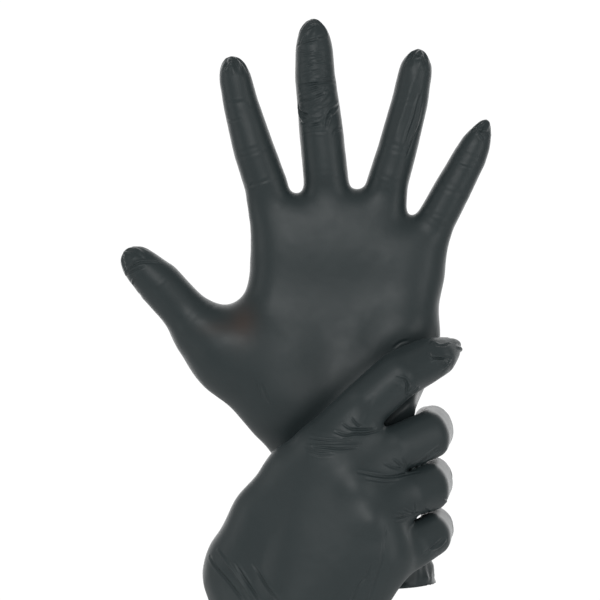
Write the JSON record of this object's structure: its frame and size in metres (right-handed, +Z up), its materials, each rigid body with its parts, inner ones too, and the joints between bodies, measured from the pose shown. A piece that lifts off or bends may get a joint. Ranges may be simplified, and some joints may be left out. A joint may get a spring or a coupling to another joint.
{
  "type": "disposable gloves",
  "caption": "Thin dark grey disposable gloves shaped as if worn: the left open and palm forward, the right curled to hold its wrist, with flexing fingers and rolled cuffs.",
  "frame": {"origin": "centre of the mouth of the left glove's cuff", "axes": "+Z up, along the left hand from the cuff to the fingertips; -Y is the way the left palm faces; +X is to the right seen from the front"},
  "size_m": [0.175, 0.104, 0.3702],
  "materials": {
    "film": "matte thin nitrile film",
    "rolled_edge": "satin rolled edge of the same film"
  },
  "bodies": {
    "left_glove": {"left_palm": "film", "left_cuff_bead": "rolled_edge"},
    "right_glove": {"right_palm": "film", "right_cuff_bead": "rolled_edge"},
    "left_index_proximal": {"left_index_proximal": "film"},
    "left_index_middle": {"left_index_middle": "film"},
    "left_index_tip": {"left_index_tip": "film"},
    "left_middle_proximal": {"left_middle_proximal": "film"},
    "left_middle_middle": {"left_middle_middle": "film"},
    "left_middle_tip": {"left_middle_tip": "film"},
    "left_ring_proximal": {"left_ring_proximal": "film"},
    "left_ring_middle": {"left_ring_middle": "film"},
    "left_ring_tip": {"left_ring_tip": "film"},
    "left_little_proximal": {"left_little_proximal": "film"},
    "left_little_middle": {"left_little_middle": "film"},
    "left_little_tip": {"left_little_tip": "film"},
    "left_thumb_proximal": {"left_thumb_proximal": "film"},
    "left_thumb_tip": {"left_thumb_tip": "film"},
    "right_index_proximal": {"right_index_proximal": "film"},
    "right_index_middle": {"right_index_middle": "film"},
    "right_index_tip": {"right_index_tip": "film"},
    "right_middle_proximal": {"right_middle_proximal": "film"},
    "right_middle_middle": {"right_middle_middle": "film"},
    "right_middle_tip": {"right_middle_tip": "film"},
    "right_ring_proximal": {"right_ring_proximal": "film"},
    "right_ring_middle": {"right_ring_middle": "film"},
    "right_ring_tip": {"right_ring_tip": "film"},
    "right_little_proximal": {"right_little_proximal": "film"},
    "right_little_middle": {"right_little_middle": "film"},
    "right_little_tip": {"right_little_tip": "film"},
    "right_thumb_proximal": {"right_thumb_proximal": "film"},
    "right_thumb_tip": {"right_thumb_tip": "film"}
  },
  "joints": [
    {"name": "left_index_root", "type": "hinge", "parent": "left_glove", "child": "left_index_proximal", "pos_m": [-0.04589, -0.01139, 0.18557], "axis": [0.9707, 0, 0.2403], "range_deg": [0, 75]},
    {"name": "left_index_knuckle", "type": "hinge", "parent": "left_index_proximal", "child": "left_index_middle", "pos_m": [-0.05155, -0.01199, 0.20192], "axis": [0.9535, 0, 0.3013], "range_deg": [0, 90]},
    {"name": "left_index_end", "type": "hinge", "parent": "left_index_middle", "child": "left_index_tip", "pos_m": [-0.05786, -0.01158, 0.22395], "axis": [0.97, 0, 0.2429], "range_deg": [0, 54]},
    {"name": "left_middle_root", "type": "hinge", "parent": "left_glove", "child": "left_middle_proximal", "pos_m": [-0.01796, -0.01179, 0.18947], "axis": [0.997, 0, 0.0776], "range_deg": [0, 75]},
    {"name": "left_middle_knuckle", "type": "hinge", "parent": "left_middle_proximal", "child": "left_middle_middle", "pos_m": [-0.02023, -0.01258, 0.21214], "axis": [0.9943, 0, 0.107], "range_deg": [0, 90]},
    {"name": "left_middle_end", "type": "hinge", "parent": "left_middle_middle", "child": "left_middle_tip", "pos_m": [-0.02304, -0.01367, 0.23655], "axis": [0.9972, 0, 0.0753], "range_deg": [0, 54]},
    {"name": "left_ring_root", "type": "hinge", "parent": "left_glove", "child": "left_ring_proximal", "pos_m": [0.01089, -0.01098, 0.18694], "axis": [0.9799, 0, -0.1995], "range_deg": [0, 75]},
    {"name": "left_ring_knuckle", "type": "hinge", "parent": "left_ring_proximal", "child": "left_ring_middle", "pos_m": [0.01547, -0.01149, 0.20283], "axis": [0.9641, 0, -0.2656], "range_deg": [0, 90]},
    {"name": "left_ring_end", "type": "hinge", "parent": "left_ring_middle", "child": "left_ring_tip", "pos_m": [0.02138, -0.01178, 0.22547], "axis": [0.9764, 0, -0.2161], "range_deg": [0, 54]},
    {"name": "left_little_root", "type": "hinge", "parent": "left_glove", "child": "left_little_proximal", "pos_m": [0.03332, -0.01049, 0.16909], "axis": [0.9143, 0, -0.4051], "range_deg": [0, 70]},
    {"name": "left_little_knuckle", "type": "hinge", "parent": "left_little_proximal", "child": "left_little_middle", "pos_m": [0.04125, -0.01098, 0.18403], "axis": [0.8824, 0, -0.4706], "range_deg": [0, 85]},
    {"name": "left_little_end", "type": "hinge", "parent": "left_little_middle", "child": "left_little_tip", "pos_m": [0.04919, -0.01117, 0.19888], "axis": [0.8935, 0, -0.449], "range_deg": [0, 51]},
    {"name": "left_thumb_root", "type": "hinge", "parent": "left_glove", "child": "left_thumb_proximal", "pos_m": [-0.07471, -0.01442, 0.12552], "axis": [0.5983, 0.5291, 0.6017], "range_deg": [0, 45]},
    {"name": "left_thumb_knuckle", "type": "hinge", "parent": "left_thumb_proximal", "child": "left_thumb_tip", "pos_m": [-0.09133, -0.01622, 0.14365], "axis": [0.578, 0.5261, 0.6238], "range_deg": [0, 60]},
    {"name": "right_index_root", "type": "hinge", "parent": "right_glove", "child": "right_index_proximal", "pos_m": [-0.00087, -0.04921, 0.08653], "axis": [-0.686, 0.1372, 0.7146], "range_deg": [-20, 0]},
    {"name": "right_index_knuckle", "type": "hinge", "parent": "right_index_proximal", "child": "right_index_middle", "pos_m": [0.01423, -0.04753, 0.10328], "axis": [-0.6046, 0.4229, 0.6749], "range_deg": [-38.9, 0]},
    {"name": "right_index_end", "type": "hinge", "parent": "right_index_middle", "child": "right_index_tip", "pos_m": [0.03167, -0.03289, 0.11118], "axis": [-0.63, 0.5043, 0.5906], "range_deg": [-10.19, 0]},
    {"name": "right_middle_root", "type": "hinge", "parent": "right_glove", "child": "right_middle_proximal", "pos_m": [0.01503, -0.04506, 0.06743], "axis": [-0.5632, 0.1126, 0.8186], "range_deg": [-20, 0]},
    {"name": "right_middle_knuckle", "type": "hinge", "parent": "right_middle_proximal", "child": "right_middle_middle", "pos_m": [0.03655, -0.03302, 0.07303], "axis": [-0.317, -0.0314, 0.9479], "range_deg": [-52, 0]},
    {"name": "right_middle_end", "type": "hinge", "parent": "right_middle_middle", "child": "right_middle_tip", "pos_m": [0.04148, -0.00493, 0.07488], "axis": [-0.234, -0.0468, 0.9711], "range_deg": [-21.01, 0]},
    {"name": "right_ring_root", "type": "hinge", "parent": "right_glove", "child": "right_ring_proximal", "pos_m": [0.02348, -0.04484, 0.04685], "axis": [-0.4857, 0.0971, 0.8687], "range_deg": [-20, 0]},
    {"name": "right_ring_knuckle", "type": "hinge", "parent": "right_ring_proximal", "child": "right_ring_middle", "pos_m": [0.03721, -0.03305, 0.04849], "axis": [-0.2277, -0.047, 0.9726], "range_deg": [-37.3, 0]},
    {"name": "right_ring_end", "type": "hinge", "parent": "right_ring_middle", "child": "right_ring_tip", "pos_m": [0.04138, -0.00599, 0.05085], "axis": [-0.2372, -0.0452, 0.9704], "range_deg": [-20.7, 0]},
    {"name": "right_little_root", "type": "hinge", "parent": "right_glove", "child": "right_little_proximal", "pos_m": [0.02668, -0.04409, 0.02403], "axis": [-0.4168, 0.0834, 0.9051], "range_deg": [-20, 0]},
    {"name": "right_little_knuckle", "type": "hinge", "parent": "right_little_proximal", "child": "right_little_middle", "pos_m": [0.03725, -0.03282, 0.02817], "axis": [-0.4055, -0.0245, 0.9137], "range_deg": [-37, 0]},
    {"name": "right_little_end", "type": "hinge", "parent": "right_little_middle", "child": "right_little_tip", "pos_m": [0.04126, -0.0093, 0.0293], "axis": [-0.2527, -0.0549, 0.966], "range_deg": [-16.21, 0]},
    {"name": "right_thumb_root", "type": "hinge", "parent": "right_glove", "child": "right_thumb_proximal", "pos_m": [-0.0617, -0.00484, 0.01981], "axis": [0.5883, 0.3591, -0.7245], "range_deg": [-20, 0]},
    {"name": "right_thumb_knuckle", "type": "hinge", "parent": "right_thumb_proximal", "child": "right_thumb_tip", "pos_m": [-0.05462, 0.02594, 0.03213], "axis": [0.5661, 0.1963, -0.8006], "range_deg": [-44.4, 0]},
    {"name": "right_glove_slide", "type": "slide", "parent": "left_glove", "child": "right_glove", "axis": [0.1159, 0, -0.9933], "range_m": [0, 0.006]}
  ],
  "couplings": [
    {"joint": "left_index_end", "follows": "left_index_knuckle", "ratio": 0.6},
    {"joint": "left_middle_end", "follows": "left_middle_knuckle", "ratio": 0.6},
    {"joint": "left_ring_end", "follows": "left_ring_knuckle", "ratio": 0.6},
    {"joint": "left_little_end", "follows": "left_little_knuckle", "ratio": 0.6},
    {"joint": "right_index_end", "follows": "right_index_knuckle", "ratio": 0.262},
    {"joint": "right_middle_end", "follows": "right_middle_knuckle", "ratio": 0.404},
    {"joint": "right_ring_end", "follows": "right_ring_knuckle", "ratio": 0.555},
    {"joint": "right_little_end", "follows": "right_little_knuckle", "ratio": 0.438}
  ]
}
